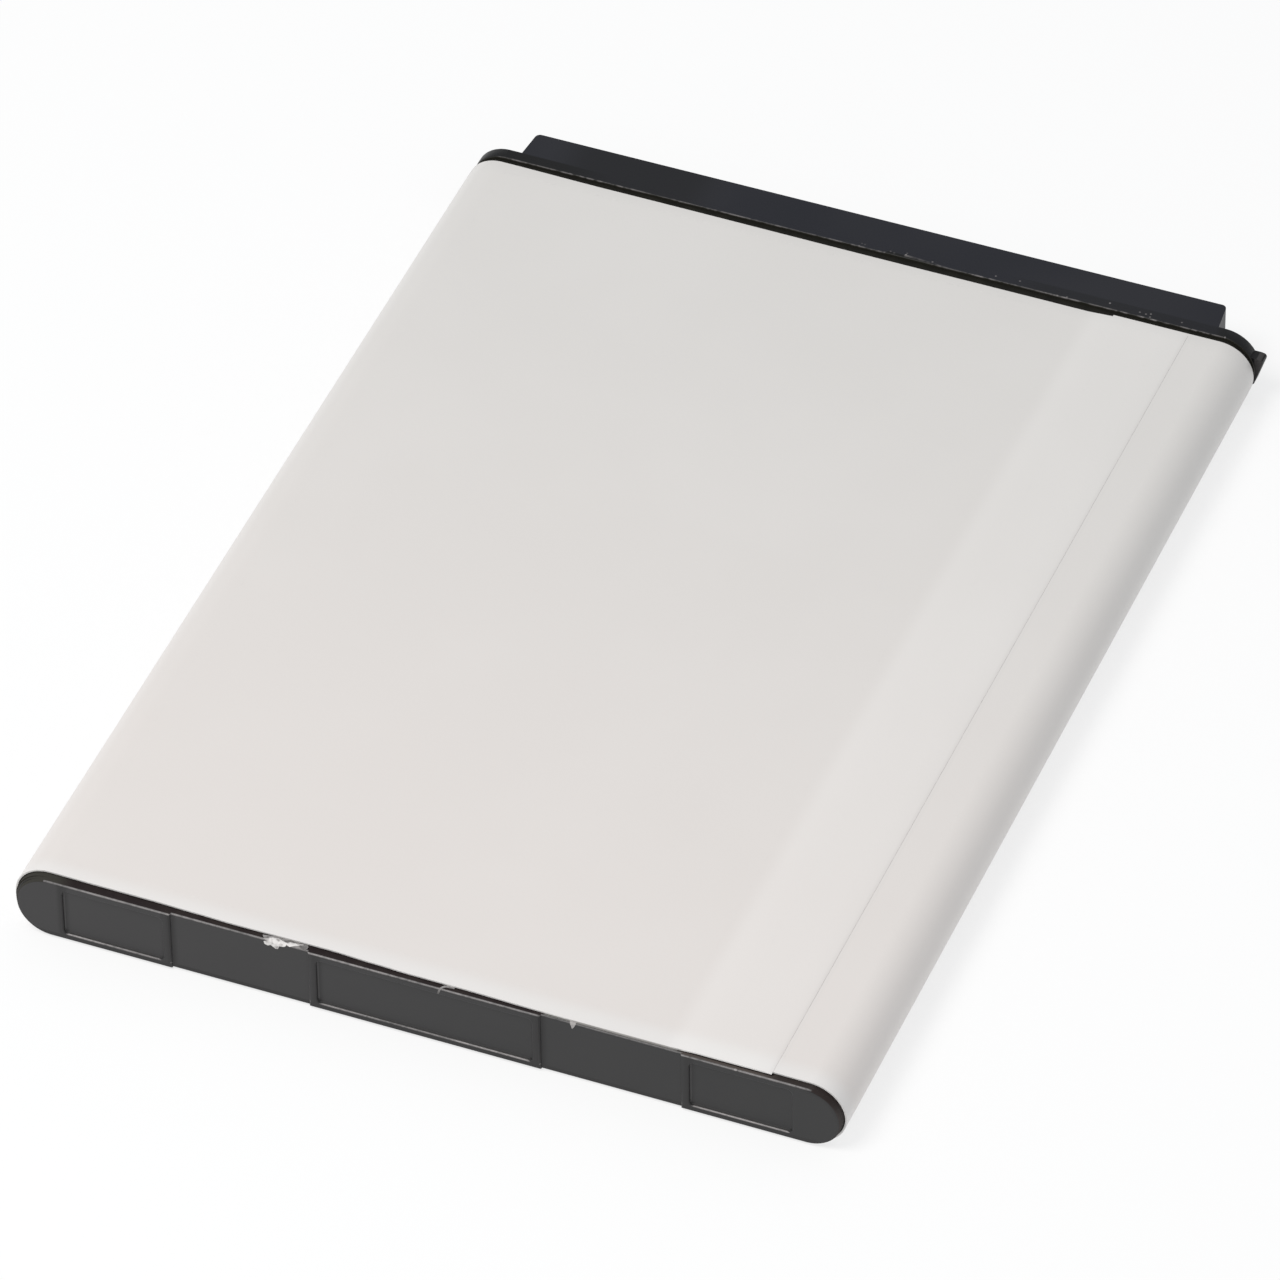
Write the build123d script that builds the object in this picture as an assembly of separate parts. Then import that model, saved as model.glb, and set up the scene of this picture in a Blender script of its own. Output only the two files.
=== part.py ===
from build123d import *
import os

# Flat removable lithium-ion battery pack of a mobile phone. Sizes are in millimetres.
# X runs across the width, Y from the plain end to the contact end, and Z up.
# The origin is the centre of the underside of the wrapped pack.

# Sealed cell: drawn can with a rounded base edge and a welded lid
cell_width = 50.80
cell_thickness = 4.26
cell_length = 66.30
can_base_round = 0.60
weld_inset = 0.14           # weld groove, in from the can's outer wall
weld_width = 0.14
weld_depth = 0.06
vent_length = 4.00          # oval score that opens if the cell gasses
vent_height = 1.60
vent_width = 0.12
vent_depth = 0.05
vent_x = 12.5

# Label: one film wrapped once round the pack and lapped on the top face
film = 0.10
lap_margin = 2.07           # from the lap's outer edge to the right rounded side
lap_width = 4.70            # from the under layer's end to the lap's outer edge
lap_ramp = 1.50             # run over which the outer layer climbs onto the under layer
setback_left = 0.73         # label's near edge behind the pads' faces, left side
setback_lap = 0.26          # the same at the lap's outer edge
setback_right = 0.51        # the same on the under layer, right side
groove_left = 0.47          # open groove between label and flange, left side
groove_lap = 0.73
groove_right = 0.46

# End caps, what both share
cap_rebate = 0.15           # step under the label's edge, in from the cell's outline
tape_thickness = 0.15
tape_inset = 1.00

# Bottom cap: a rounded plate with three raised pads
bottom_cap_depth = 1.15     # from the pads' faces to the tape
bottom_cap_slack_x = 0.38   # how much narrower than the cell
bottom_cap_slack_z = 0.06
bottom_cap_shift = 0.08     # the cap sits a hair to the right of the cell
plate_depth = 0.30          # full outline behind the pads' faces, before the rebate
pad_height = 0.14
centre_pad_width = 14.20
outer_pad_flat = 7.51       # straight stretch of each outer pad
cap_edge_round = 0.12
panel_depth = 0.16
panel_frame = 0.52          # frame beside each panel
panel_end_frame = 0.81      # frame at the outer pads' rounded ends
panel_frame_z = 0.46        # frame above and below each panel
panel_corner = 0.30
panel_mouth_round = 0.10

# Top cap: skirt on the lid, flange with the pack's outline, and contact block
skirt_length = 1.19
skirt_wall = 0.33
flange_length = 0.81
flange_rise = 0.07          # how far the flange stands proud of the cell, above and below
flange_edge_round = 0.06
block_length = 2.00
block_inset = 2.80          # from the flange's end to the block's side
block_draft = 0.19          # how far each side leans in over the block's length
block_shift = 0.16          # the block sits a hair to the right of the flange
block_corner = 0.30
block_edge_round = 0.12
block_front_wall = 0.60
block_side_wall = 0.60
flange_end_wall = 0.40

# Keying ear on the right end of the flange
ear_reach = 0.56            # beyond the flange's outline
ear_drop = 1.12             # from the flange's top to the ear's top
ear_height = 1.95
ear_lean = 0.60             # how far the outer side leans in at the ear's foot
ear_foot = 0.30
ear_root = 1.60             # how far the ear reaches back into the flange
ear_corner = 0.18

# Circuit board behind the contact wall
board_thickness = 0.60
board_clearance = 0.08
snap_length = 2.00
snap_depth = 0.35
snap_rise = 0.17
snap_spacing = 15.00

# Contacts and their windows
contact_count = 4
contact_pitch = 3.60
contact_inset = 12.36       # from the board's left end to the middle of the contacts
window_width = 1.90
window_margin_z = 0.22      # board left above and below a window
window_chamfer = 0.15
contact_clearance = 0.10
contact_thickness = 0.15

# Pieces on the lid
insulator_thickness = 0.10
insulator_gap = 0.10        # round the sheet and round each piece in its windows
gasket_length = 3.80
gasket_height = 2.50
gasket_thickness = 0.20
gasket_corner = 0.60
sleeve_diameter = 1.60
sleeve_depth = 0.70
rivet_length = 3.00
rivet_height = 1.90
rivet_corner = 0.60
rivet_head = 0.35
rivet_shank = 0.90
plug_head_diameter = 1.80
plug_head = 0.15
plug_bevel = 0.07
plug_shank = 1.20
plug_depth = 0.50
pressed_clearance = 0.02    # all round a shank or sleeve in its hole
hole_bottom = 0.10          # left free below a shank or sleeve
weld_plate_length = 6.00
weld_plate_thickness = 0.15
weld_plate_standoff = 1.10  # from the positive strip's riser to the plate
lid_piece_frame = 0.40      # lid left bare above and below the plate and the breaker
breaker_x = 4.50            # where the thermal breaker's body starts
breaker_length = 4.00
breaker_depth = 0.90
breaker_round = 0.15

# Nickel strips and board tabs
strip = 0.10
strip_width = 2.00
strip_bend = 0.30
strip_end = 0.10            # bare metal beyond a weld
tab_thickness = 0.15
tab_length = 2.80
tab_width = 2.20
tab_margin = 0.50           # from the tab to the board's end

# Chips on the board: body length, body width, height, leg pitch, leg reach
protection_chip_size = (2.90, 1.50, 0.75, 0.95, 0.45)
protection_chip_legs = 3    # on each long side
protection_chip_x = -4.00
switch_chip_size = (3.00, 1.70, 0.80, 0.65, 0.40)
switch_chip_legs = 4
switch_chip_x = 3.00
chip_chamfer = 0.12
leg_width = 0.30
leg_thickness = 0.12
resistor_size = (1.00, 0.50, 0.35)
capacitor_size = (1.00, 0.50, 0.50)
resistor_places = ((-8.60, 0.60), (-8.60, -0.60), (-10.60, 0.60), (7.60, -0.60))
capacitor_places = ((-10.60, -0.60), (7.60, 0.60), (9.60, 0.00))
termination_length = 0.22
termination_rise = 0.02

# Places worked out along the length
top_cap_depth = skirt_length + flange_length + block_length
pack_length = bottom_cap_depth + tape_thickness + cell_length + top_cap_depth
y_pads = -pack_length / 2
y_zones = y_pads + pad_height
y_plate_back = y_pads + plate_depth
y_cap_seat = y_pads + bottom_cap_depth
y_base = y_cap_seat + tape_thickness
y_lid = y_base + cell_length
y_flange = y_lid + skirt_length
y_block = y_flange + flange_length
y_contact = y_block + block_length
y_board = y_contact - block_front_wall
y_board_back = y_board - board_thickness
y_insulated = y_lid + insulator_thickness
y_gasket = y_lid + gasket_thickness
y_rivet = y_gasket + rivet_head
y_weld_plate = y_lid + weld_plate_thickness
y_tab = y_board_back - tab_thickness

# Places and sizes worked out across the section
mid_z = film + cell_thickness / 2
pack_width = cell_width + 2 * film
pack_thickness = cell_thickness + 2 * film
pack_flat = (pack_width - pack_thickness) / 2
lap_end = pack_flat - lap_margin
lap_start = lap_end - lap_width
skirt_width = cell_width - 2 * cap_rebate
skirt_thickness = cell_thickness - 2 * cap_rebate
cavity_width = skirt_width - 2 * skirt_wall
cavity_height = skirt_thickness - 2 * skirt_wall
bottom_width = cell_width - bottom_cap_slack_x
bottom_thickness = cell_thickness - bottom_cap_slack_z
bottom_flat = (bottom_width - bottom_thickness) / 2
outer_pad_start = bottom_flat - outer_pad_flat
panel_height = bottom_thickness - 2 * panel_frame_z
flange_width = cell_width
flange_thickness = cell_thickness + 2 * flange_rise
block_half = flange_width / 2 - block_inset
board_half = block_half - block_draft - block_side_wall - board_clearance
board_height = cavity_height - 2 * board_clearance
window_height = board_height - 2 * window_margin_z
lid_piece_height = cavity_height - 2 * lid_piece_frame
tab_x = board_half - tab_margin - tab_length / 2
riser_x = tab_x - tab_length / 2 - strip_end
breaker_end = breaker_x + breaker_length
weld_plate_x = weld_plate_standoff + weld_plate_length / 2 - riser_x
plug_x = (weld_plate_x + weld_plate_length / 2 - gasket_length / 2) / 2
first_contact_x = contact_inset - board_half - contact_pitch * (contact_count - 1) / 2
contact_places = [first_contact_x + contact_pitch * i for i in range(contact_count)]


def along(profile, y_start, y_end, x=0.0):
    """Extrude a profile drawn in X and Z about the pack's mid height, from y_start to y_end."""
    end_plane = Plane(origin=(x, y_end, mid_z), x_dir=(1, 0, 0), z_dir=(0, -1, 0))
    return extrude(end_plane * profile, amount=y_end - y_start)


def slab(x_start, x_end, y_start, y_end, z_size):
    """A rectangular piece centred on the pack's mid height."""
    return along(Rectangle(x_end - x_start, z_size), y_start, y_end, (x_start + x_end) / 2)


def front_edges(shape):
    """The outline of the face that looks towards the plain end."""
    return shape.faces().sort_by(Axis.Y)[0].outer_wire().edges()


def cell():
    """Drawn can closed by its welded lid, with the blind seats of the rivet sleeve and the plug."""
    can = along(SlotOverall(cell_width, cell_thickness), y_base, y_lid)
    can = fillet(front_edges(can), can_base_round)
    outer = 2 * weld_inset
    inner = outer + 2 * weld_width
    weld = (SlotOverall(cell_width - outer, cell_thickness - outer)
            - SlotOverall(cell_width - inner, cell_thickness - inner))
    vent = (SlotOverall(vent_length, vent_height)
            - SlotOverall(vent_length - 2 * vent_width, vent_height - 2 * vent_width))
    can -= along(weld, y_lid - weld_depth, y_lid)
    can -= along(vent, y_lid - vent_depth, y_lid, vent_x)
    can -= along(Circle(sleeve_diameter / 2), y_lid - sleeve_depth - hole_bottom, y_lid)
    can -= along(Circle(plug_shank / 2), y_lid - plug_depth - hole_bottom, y_lid, plug_x)
    return can


def terminal_gasket():
    """Moulded plate with a sleeve that lines the rivet's hole in the lid."""
    plate = along(RectangleRounded(gasket_length, gasket_height, gasket_corner), y_lid, y_gasket)
    sleeve = along(Circle(sleeve_diameter / 2 - pressed_clearance), y_lid - sleeve_depth, y_lid)
    return plate + sleeve - along(Circle(rivet_shank / 2), y_lid - sleeve_depth, y_gasket)


def terminal_rivet():
    """Flat head over the gasket with a shank down its sleeve."""
    head = along(RectangleRounded(rivet_length, rivet_height, rivet_corner), y_gasket, y_rivet)
    shank = along(Circle(rivet_shank / 2 - pressed_clearance), y_lid - sleeve_depth, y_gasket)
    return head + shank


def fill_plug():
    """Plug with a low bevelled head pressed into the filling hole."""
    head = along(Circle(plug_head_diameter / 2), y_lid, y_lid + plug_head, plug_x)
    head = chamfer(head.faces().sort_by(Axis.Y)[-1].edges(), plug_bevel)
    return head + along(Circle(plug_shank / 2 - pressed_clearance), y_lid - plug_depth, y_lid, plug_x)


def lid_insulator():
    """Adhesive sheet inside the cap's skirt, open over the pieces that stand on the lid."""
    gap = 2 * insulator_gap
    sheet = along(SlotOverall(cavity_width - gap, cavity_height - gap), y_lid, y_insulated)
    gasket_window = RectangleRounded(gasket_length + gap, gasket_height + gap, gasket_corner)
    sheet -= along(gasket_window, y_lid, y_insulated)
    sheet -= along(Circle(plug_head_diameter / 2 + insulator_gap), y_lid, y_insulated, plug_x)
    plate_window = Rectangle(weld_plate_length + gap, lid_piece_height + gap)
    return sheet - along(plate_window, y_lid, y_insulated, weld_plate_x)


def thermal_breaker():
    """Small flat breaker body that lies on the insulating sheet."""
    body = slab(breaker_x, breaker_end, y_insulated, y_insulated + breaker_depth, lid_piece_height)
    return fillet(body.edges().filter_by(Axis.Y), breaker_round)


def board_tab(x):
    """Nickel tab soldered flat to the board's back, for a strip to be welded to."""
    return slab(x - tab_length / 2, x + tab_length / 2, y_tab, y_board_back, tab_width)


def folded_strip(x_start, x_riser, x_end, y_low, y_high):
    """Nickel strip that runs along the lid, rises beside x_riser and lands under a board tab."""
    low = y_low + strip / 2
    high = y_high - strip / 2
    path = FilletPolyline((x_start, low), (x_riser, low), (x_riser, high), (x_end, high), radius=strip_bend)
    return extrude(Pos(0, 0, mid_z - strip_width / 2) * trace(path, strip), amount=strip_width)


def chip(x, size, legs):
    """Moulded chip body, chamfered at its back, with flat legs along both long sides."""
    length, width, height, pitch, reach = size
    body = slab(x - length / 2, x + length / 2, y_board_back - height, y_board_back, width)
    body = chamfer(front_edges(body), chip_chamfer)
    for i in range(legs):
        leg_x = x + pitch * (i - (legs - 1) / 2)
        body += slab(leg_x - leg_width / 2, leg_x + leg_width / 2, y_board_back - leg_thickness,
                     y_board_back, width + 2 * reach)
    return body


def chip_part(place, size):
    """Surface-mounted resistor or capacitor: a body between two metal ends."""
    x, z = place
    length, width, height = size
    rise = termination_rise
    body = slab(-length / 2, length / 2, y_board_back - height, y_board_back, width)
    for side in (-1, 1):
        end_x = side * (length - termination_length) / 2
        body += slab(end_x - termination_length / 2, end_x + termination_length / 2,
                     y_board_back - height - rise, y_board_back, width + 2 * rise)
    return Pos(x, 0, z) * body


def top_cap():
    """Open moulding: rebated skirt, flange, drafted contact block, ear, windows and board snaps."""
    shell = along(SlotOverall(skirt_width, skirt_thickness), y_lid, y_block)
    flange = along(SlotOverall(flange_width, flange_thickness), y_flange, y_block)
    shell += fillet(front_edges(flange), flange_edge_round)
    shell += contact_block() + keying_ear()
    cavity = along(SlotOverall(cavity_width, cavity_height), y_lid, y_block - flange_end_wall)
    board_bay = board_half + board_clearance
    cavity += slab(-board_bay, board_bay, y_lid, y_board, cavity_height)
    shell -= cavity
    for x in contact_places:
        shell -= contact_window(x)
    for x in (-snap_spacing, 0, snap_spacing):
        shell += board_snaps(x)
    return shell


def contact_block():
    """Block whose sides lean in towards the contact face, with rounded corners and edges."""
    near_half = block_half
    far_half = block_half - block_draft
    outline = Polyline((-near_half, y_block), (near_half, y_block), (far_half, y_contact),
                       (-far_half, y_contact), close=True)
    underside = Pos(block_shift, 0, mid_z - flange_thickness / 2)
    block = extrude(underside * make_face(outline), amount=flange_thickness)
    far_corners = block.edges().filter_by(Axis.Z).sort_by(Axis.Y)[-2:]
    block = fillet(far_corners, block_corner)
    return fillet(block.faces().sort_by(Axis.Y)[-1].outer_wire().edges(), block_edge_round)


def keying_ear():
    """Wedge on the right end of the flange that stops the pack going in the wrong way round."""
    side = flange_width / 2
    top = mid_z + flange_thickness / 2 - ear_drop
    foot = top - ear_height
    tip = side + ear_reach
    outline = Polyline((side - ear_root, top), (tip, top), (tip - ear_lean, foot),
                       (tip - ear_lean - ear_foot, foot - ear_foot), (side - ear_root, foot - ear_foot),
                       close=True)
    face = Plane(origin=(0, y_block, 0), x_dir=(1, 0, 0), z_dir=(0, -1, 0)) * make_face(outline)
    ear = extrude(face, amount=flange_length)
    tip_edge = ear.edges().filter_by(Axis.Y).sort_by(Axis.X)[-1]
    return fillet(tip_edge, ear_corner)


def contact_window(x):
    """Opening in the contact wall, flared at its mouth."""
    opening = along(Rectangle(window_width, window_height), y_board, y_contact, x)
    mouth = loft([
        Plane(origin=(x, y_contact, mid_z), x_dir=(1, 0, 0), z_dir=(0, -1, 0))
        * Rectangle(window_width + 2 * window_chamfer, window_height + 2 * window_chamfer),
        Plane(origin=(x, y_contact - window_chamfer, mid_z), x_dir=(1, 0, 0), z_dir=(0, -1, 0))
        * Rectangle(window_width, window_height),
    ])
    return opening + mouth


def board_snaps(x):
    """A pair of small catches, above and below, that hold the board against the contact wall."""
    back = y_board_back - board_clearance / 2
    ring = Rectangle(snap_length, cavity_height) - Rectangle(snap_length, cavity_height - 2 * snap_rise)
    return along(ring, back - snap_depth, back, x)


def bottom_cap():
    """Rounded plate with two lower zones between three raised pads, each pad with a framed panel."""
    outline = SlotOverall(bottom_width, bottom_thickness)
    body = along(outline, y_zones, y_cap_seat)
    body = fillet(front_edges(body), cap_edge_round)
    outer_panel = (outer_pad_start + panel_frame, bottom_flat - panel_end_frame)
    body += pad((-centre_pad_width / 2, centre_pad_width / 2),
                (panel_frame - centre_pad_width / 2, centre_pad_width / 2 - panel_frame))
    body += pad((outer_pad_start, bottom_width / 2), outer_panel)
    body += pad((-bottom_width / 2, -outer_pad_start), (-outer_panel[1], -outer_panel[0]))
    body -= along(outline - SlotOverall(skirt_width, skirt_thickness), y_plate_back, y_cap_seat)
    return Pos(bottom_cap_shift, 0, 0) * body


def pad(span, panel_span):
    """A stretch of the plate raised to the pads' faces, with a shallow panel sunk in its face."""
    raised = along(SlotOverall(bottom_width, bottom_thickness), y_pads, y_cap_seat)
    raised &= slab(span[0], span[1], y_pads, y_cap_seat, bottom_thickness)
    raised = fillet(front_edges(raised), cap_edge_round)
    width = panel_span[1] - panel_span[0]
    raised -= along(RectangleRounded(width, panel_height, panel_corner), y_pads, y_pads + panel_depth,
                    (panel_span[0] + panel_span[1]) / 2)
    face = raised.faces().sort_by(Axis.Y)[0]
    return fillet(face.inner_wires()[0].edges(), panel_mouth_round)


def bottom_tape():
    """Double-sided tape between the can's base and the bottom cap."""
    inset = 2 * tape_inset
    return along(SlotOverall(cell_width - inset, cell_thickness - inset), y_cap_seat, y_base)


def trimmed(shape, x_end, setback_end, groove_end):
    """Cut a stretch of the wrap to its two askew edges, straight along the left rounded side."""
    left = -pack_width / 2
    left_flat = -pack_flat
    near_left = y_pads + setback_left
    far_left = y_flange - groove_left
    outline = Polyline((left, near_left), (left_flat, near_left), (x_end, y_pads + setback_end),
                       (x_end, y_flange - groove_end), (left_flat, far_left), (left, far_left), close=True)
    height = pack_thickness + 2 * film
    return shape & extrude(make_face(outline), amount=height)


def label_wrap():
    """Film bonded round the pack. Its outer layer climbs the under layer's end and stops at the lap."""
    ring = (SlotOverall(pack_width, pack_thickness) - SlotOverall(cell_width, cell_thickness))
    half = pack_thickness / 2
    left = -pack_width / 2
    upper_left = Pos((left + lap_start) / 2, half / 2) * Rectangle(lap_start - left, half)
    lap = make_face(Polyline((lap_start - lap_ramp, half), (lap_start, half + film), (lap_end, half + film),
                             (lap_end, half), close=True))
    outer_layer = along((ring & upper_left) + lap, y_pads, y_contact)
    under_layer = along(ring - upper_left, y_pads, y_contact)
    return (trimmed(outer_layer, lap_end, setback_lap, groove_lap)
            + trimmed(under_layer, pack_width / 2, setback_right, groove_right))


def contact_pad(x):
    """Gold-plated contact that stands on the board inside its window."""
    clearance = 2 * contact_clearance
    return along(Rectangle(window_width - clearance, window_height - clearance), y_board,
                 y_board + contact_thickness, x)


pieces = {
    "cell": cell(),
    "terminal_gasket": terminal_gasket(),
    "terminal_rivet": terminal_rivet(),
    "fill_plug": fill_plug(),
    "positive_plate": slab(weld_plate_x - weld_plate_length / 2, weld_plate_x + weld_plate_length / 2,
                           y_lid, y_weld_plate, lid_piece_height),
    "lid_insulator": lid_insulator(),
    "thermal_cutoff": thermal_breaker(),
    "cutoff_lead": slab(strip_end - rivet_length / 2, breaker_x, y_rivet, y_rivet + strip, strip_width),
    "negative_lead": folded_strip(breaker_end, riser_x, tab_x + tab_length / 2 - strip_end,
                                  y_rivet, y_tab),
    "positive_lead": folded_strip(weld_plate_x + weld_plate_length / 2 - strip_end, -riser_x,
                                  -tab_x - tab_length / 2 + strip_end, y_weld_plate, y_tab),
    "circuit_board": slab(-board_half, board_half, y_board_back, y_board, board_height),
    "board_tab_negative": board_tab(tab_x),
    "board_tab_positive": board_tab(-tab_x),
    "protection_chip": chip(protection_chip_x, protection_chip_size, protection_chip_legs),
    "switch_chip": chip(switch_chip_x, switch_chip_size, switch_chip_legs),
    "chip_resistors": Compound(children=[chip_part(place, resistor_size) for place in resistor_places]),
    "chip_capacitors": Compound(children=[chip_part(place, capacitor_size) for place in capacitor_places]),
    "top_cap": top_cap(),
    "bottom_cap": bottom_cap(),
    "bottom_tape": bottom_tape(),
    "label_wrap": label_wrap(),
}
for number, contact_x in enumerate(contact_places, start=1):
    pieces[f"contact_pad_{number}"] = contact_pad(contact_x)

os.makedirs("parts", exist_ok=True)
for node, shape in pieces.items():
    export_step(shape, f"parts/{node}.step")
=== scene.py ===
import math

import bmesh
import bpy
from mathutils import Matrix, Vector
from mathutils.noise import noise


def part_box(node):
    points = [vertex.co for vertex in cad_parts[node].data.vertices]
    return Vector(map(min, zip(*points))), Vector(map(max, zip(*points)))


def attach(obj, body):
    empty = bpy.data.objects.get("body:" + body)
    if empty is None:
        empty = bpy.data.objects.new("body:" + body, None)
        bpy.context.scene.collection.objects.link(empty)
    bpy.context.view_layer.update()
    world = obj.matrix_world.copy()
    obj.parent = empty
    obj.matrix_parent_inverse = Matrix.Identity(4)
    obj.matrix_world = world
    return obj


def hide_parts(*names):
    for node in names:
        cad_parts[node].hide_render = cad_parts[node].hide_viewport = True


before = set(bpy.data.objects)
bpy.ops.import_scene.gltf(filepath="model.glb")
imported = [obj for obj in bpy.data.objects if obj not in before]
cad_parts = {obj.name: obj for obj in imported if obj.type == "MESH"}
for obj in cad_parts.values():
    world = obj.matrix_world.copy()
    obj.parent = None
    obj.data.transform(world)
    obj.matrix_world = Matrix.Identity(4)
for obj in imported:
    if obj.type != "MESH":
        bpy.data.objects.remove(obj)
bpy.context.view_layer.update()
MM = 0.001

# Camera. It stands where the photograph was taken from: beyond the plain end, a little to the
# right and about 42 degrees up, with a long lens that keeps the pack's sides nearly parallel.
lens = 314.2
sensor = 36.0
azimuth = math.radians(22.41)
elevation = math.radians(42.29)
roll = math.radians(-0.8)
distance = 654.6 * MM
aim = Vector((0, -0.8, 2.25)) * MM
aim_left = 0.75 * MM
aim_down = 1.02 * MM

back = Vector((math.sin(azimuth) * math.cos(elevation), -math.cos(azimuth) * math.cos(elevation),
               math.sin(elevation)))
level_right = Vector((math.cos(azimuth), math.sin(azimuth), 0))
level_up = back.cross(level_right)
right = math.cos(roll) * level_right + math.sin(roll) * level_up
up = math.cos(roll) * level_up - math.sin(roll) * level_right
eye = aim - aim_left * right - aim_down * up + distance * back
camera = bpy.data.objects.new("camera", bpy.data.cameras.new("camera"))
bpy.context.scene.collection.objects.link(camera)
camera.data.lens = lens
camera.data.sensor_width = sensor
camera.data.clip_start = 0.05
camera.data.clip_end = 20
camera.matrix_world = Matrix.LocRotScale(eye, Matrix((right, up, back)).transposed(), None)
bpy.context.scene.camera = camera

# Studio. A white table, a pale sky all round and one soft box from the front left and above, so that
# the right long side falls into shade and lightens again underneath, where the table throws light up.
table_half = 2.0
table_white = (0.93, 0.93, 0.93, 1)
table_glow = 0.75           # share of plain white where the table is seen or mirrored
sky = (0.51, 0.525, 0.545, 1)
box_direction = Vector((-0.28, -0.41, 0.87))
box_distance = 0.5
box_side = 0.22
box_power = 1.52
box_colour = (1.0, 0.985, 0.96)


class Wire:
    """An output inside a material. Arithmetic on it adds Math nodes, and node adds any other node."""

    def __init__(self, tree, output=None):
        self.tree = tree
        self.output = output

    def node(self, kind, settings=(), sockets=(), out=0):
        """Add a node, set its settings, then fill its sockets, given by name or number."""
        made = self.tree.nodes.new(kind)
        for key, value in dict(settings).items():
            setattr(made, key, value)
        for key, value in dict(sockets).items():
            if isinstance(value, Wire):
                self.tree.links.new(value.output, made.inputs[key])
            else:
                made.inputs[key].default_value = value
        return Wire(self.tree, made.outputs[out] if made.outputs else None)

    def math(self, operation, *values):
        return self.node("ShaderNodeMath", {"operation": operation}, dict(enumerate(values)))

    def __add__(self, other):
        return self.math("ADD", self, other)

    def __sub__(self, other):
        return self.math("SUBTRACT", self, other)

    def __rsub__(self, other):
        return self.math("SUBTRACT", other, self)

    def __mul__(self, other):
        return self.math("MULTIPLY", self, other)

    __radd__ = __add__
    __rmul__ = __mul__

    def rise(self, low, high):
        """0 below low, 1 above high, and a smooth climb between them."""
        return self.node("ShaderNodeMapRange", {"interpolation_type": "SMOOTHSTEP"},
                         {0: self, 1: low, 2: high, 3: 0.0, 4: 1.0})

    def most(self, other):
        """The larger of this value and the other."""
        return self.math("MAXIMUM", self, other)

    def reach(self, other):
        """How far a point lies from the place where this value and the other are both 0."""
        return self.math("SQRT", self * self + other * other)

    def place(self):
        """The point on the object, and its three coordinates in millimetres."""
        point = self.node("ShaderNodeTexCoord", out="Object")
        parts = [self.node("ShaderNodeSeparateXYZ", (), {0: point}, out=axis) for axis in range(3)]
        return [point] + [part * (1 / MM) for part in parts]

    def noise(self, point, scale, detail=2.0):
        return self.node("ShaderNodeTexNoise", (), {"Vector": point, "Scale": scale, "Detail": detail})

    def bump(self, height, distance, strength=1.0, normal=None):
        sockets = {"Height": height, "Distance": distance, "Strength": strength}
        if normal:
            sockets["Normal"] = normal
        return self.node("ShaderNodeBump", (), sockets)

    def finish(self, **sockets):
        """Close the material with a Principled shader; a name's underscores stand for spaces."""
        named = {name.replace("_", " "): value for name, value in sockets.items()}
        surface = self.node("ShaderNodeBsdfPrincipled", (), named)
        self.node("ShaderNodeOutputMaterial", (), {"Surface": surface})

    def within(self, low, high, soft):
        """1 between low and high, falling to 0 over soft at both ends."""
        return self.rise(low - soft, low) * (1 - self.rise(high, high + soft))

    def spot(self, other, size):
        """1 round the place where this value and the other are both 0, out to about size."""
        return 1 - self.reach(other).rise(size * 0.5, size * 1.3)

    def blend(self, first, second):
        """A colour that goes from first to second as this value goes from 0 to 1."""
        return self.node("ShaderNodeMix", {"data_type": "RGBA"}, {0: self, 6: first, 7: second}, out=2)


def new_material(name):
    """An empty material and a wire to start from."""
    material = bpy.data.materials.new(name)
    material.use_nodes = True
    material.node_tree.nodes.clear()
    return material, Wire(material.node_tree)


bpy.ops.object.select_all(action="DESELECT")
bpy.ops.mesh.primitive_plane_add(size=2 * table_half)
table = bpy.context.object
table.name = "table"
white, start = new_material("table_white")
seen = start.node("ShaderNodeLightPath")
mirrored = start.node("ShaderNodeLightPath", out="Is Glossy Ray")
matt = start.node("ShaderNodeBsdfDiffuse", (), {"Color": table_white})
glow = start.node("ShaderNodeEmission", (), {"Color": (1, 1, 1, 1), "Strength": 1.0})
share = seen.most(mirrored) * table_glow
mixed = start.node("ShaderNodeMixShader", (), {0: share, 1: matt, 2: glow})
start.node("ShaderNodeOutputMaterial", (), {"Surface": mixed})
table.data.materials.append(white)

world = bpy.data.worlds.new("sky")
world.use_nodes = True
world.node_tree.nodes["Background"].inputs["Color"].default_value = sky
world.node_tree.nodes["Background"].inputs["Strength"].default_value = 1.0
bpy.context.scene.world = world

lamp = bpy.data.lights.new("soft_box", "AREA")
lamp.size = box_side
lamp.energy = box_power
lamp.color = box_colour
soft_box = bpy.data.objects.new("soft_box", lamp)
bpy.context.scene.collection.objects.link(soft_box)
soft_box.location = box_direction.normalized() * box_distance
soft_box.rotation_euler = box_direction.to_track_quat("Z", "Y").to_euler()

bpy.context.scene.view_settings.view_transform = "Standard"

# Label. One white polyester film is wrapped once round the pack from the top face, over the right side,
# the underside and the left side, and lapped over its own start. It is cut slightly askew at both
# ends, and drawn down where nothing backs it: over the can's rounded base and the top cap's step.
film = 0.10 * MM
film_rest = 0.002 * MM      # adhesive between the two layers at the lap
lap_width = 4.70 * MM
lap_ramp = 1.50 * MM
lap_margin = 2.07 * MM
lap_taper = 0.60 * MM       # run over which the lap's free edge thins
lap_thinned = 0.08 * MM
lap_askew = 0.0041          # how far the lap's edge runs over to the right along the length
skirt_length = 1.19 * MM    # of the top cap, which the film's far end hangs over
side_steps = 32
top_columns = 60
ramp_columns = 3
lap_columns = 5
underside_columns = 24
sheet_margin = 0.10 * MM    # from the pads' faces and from the flange to the uncut sheet
near_rows = (0.25, 0.50, 0.75, 1.0, 1.3, 1.6, 2.0)      # mm behind the pads' faces
far_rows = (1.6, 1.35, 1.1, 0.9, 0.75, 0.6)             # mm in front of the flange
long_rows = 24
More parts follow.
